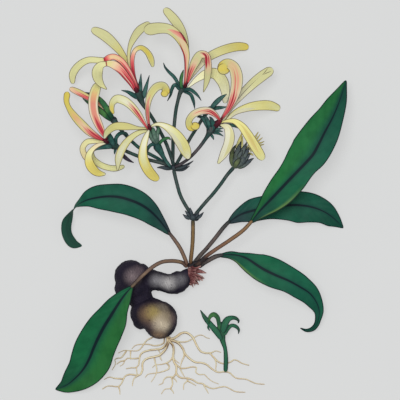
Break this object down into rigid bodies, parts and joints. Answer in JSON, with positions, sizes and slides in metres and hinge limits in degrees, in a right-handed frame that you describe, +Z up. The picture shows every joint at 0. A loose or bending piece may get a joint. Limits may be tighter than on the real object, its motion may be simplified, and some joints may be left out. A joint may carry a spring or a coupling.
{
  "type": "flowering honeysuckle plant",
  "caption": "Bare-root flowering honeysuckle laid flat: pale yellow and red curling petals on forked stalks, broad dark green leaves, a lumpy rhizome, wavy roots and a young shoot.",
  "frame": {"origin": "on the surface that the plant lies on, under the middle of its outline seen from above", "axes": "+Y from the roots towards the flowers, +X to the right seen from above with the flowers away from the viewer, +Z up from the surface"},
  "size_m": [0.2925, 0.3891, 0.0648],
  "materials": {
    "petal": "soft satin petal tissue, pale yellow to gold with red and pink stripes and thin brown margins",
    "calyx": "matt dark blue-green sepals, cups, bracts and flower stalks",
    "stem": "matt brown-olive stalk skin",
    "leaf": "satin dark green leaf with a dark midrib and side veins",
    "rhizome": "rough purplish black bark with ring scars",
    "root": "matt tan root skin",
    "tuft": "dry pinkish brown scales",
    "shoot": "satin green with brighter inner faces"
  },
  "bodies": {
    "root": {"rhizome": "rhizome", "crown_tuft": "tuft", "leaf_upper_left": "leaf", "leaf_upper_right": "leaf", "leaf_middle_right": "leaf", "leaf_lower_right": "leaf", "leaf_lower_left": "leaf", "root_right_upper": "root", "root_right_lower": "root", "root_middle": "root", "root_left_lower": "root", "root_left_upper": "root", "scape": "stem", "peduncle_left": "stem", "peduncle_right": "stem", "lower_bract_whorl": "calyx", "upper_bract_whorl": "calyx", "calyx_1": "calyx", "petal_1a": "petal", "petal_1b": "petal", "petal_1c": "petal", "petal_1d": "petal", "petal_1e": "petal", "calyx_2": "calyx", "petal_2a": "petal", "petal_2b": "petal", "petal_2c": "petal", "petal_2d": "petal", "petal_2e": "petal", "calyx_3": "calyx", "petal_3a": "petal", "petal_3b": "petal", "petal_3d": "petal", "petal_3e": "petal", "petal_3f": "petal", "calyx_4": "calyx", "petal_4a": "petal", "petal_4b": "petal", "petal_4c": "petal", "petal_4d": "petal", "petal_4e": "petal", "petal_4f": "petal", "calyx_5": "calyx", "petal_5a": "petal", "petal_5c": "petal", "petal_5d": "petal", "petal_5e": "petal", "petal_5f": "petal", "petal_5g": "petal", "bud_stalk_left": "calyx", "bud_stalk_right": "calyx", "bud_petal": "petal", "bud_head": "calyx", "bud_floret_left": "petal", "bud_floret_right": "petal", "shoot_stem": "shoot", "shoot_leaf_left": "shoot", "shoot_leaf_loop": "shoot", "shoot_leaf_right_upper": "shoot", "shoot_leaf_right_lower": "shoot"}
  },
  "joints": []
}
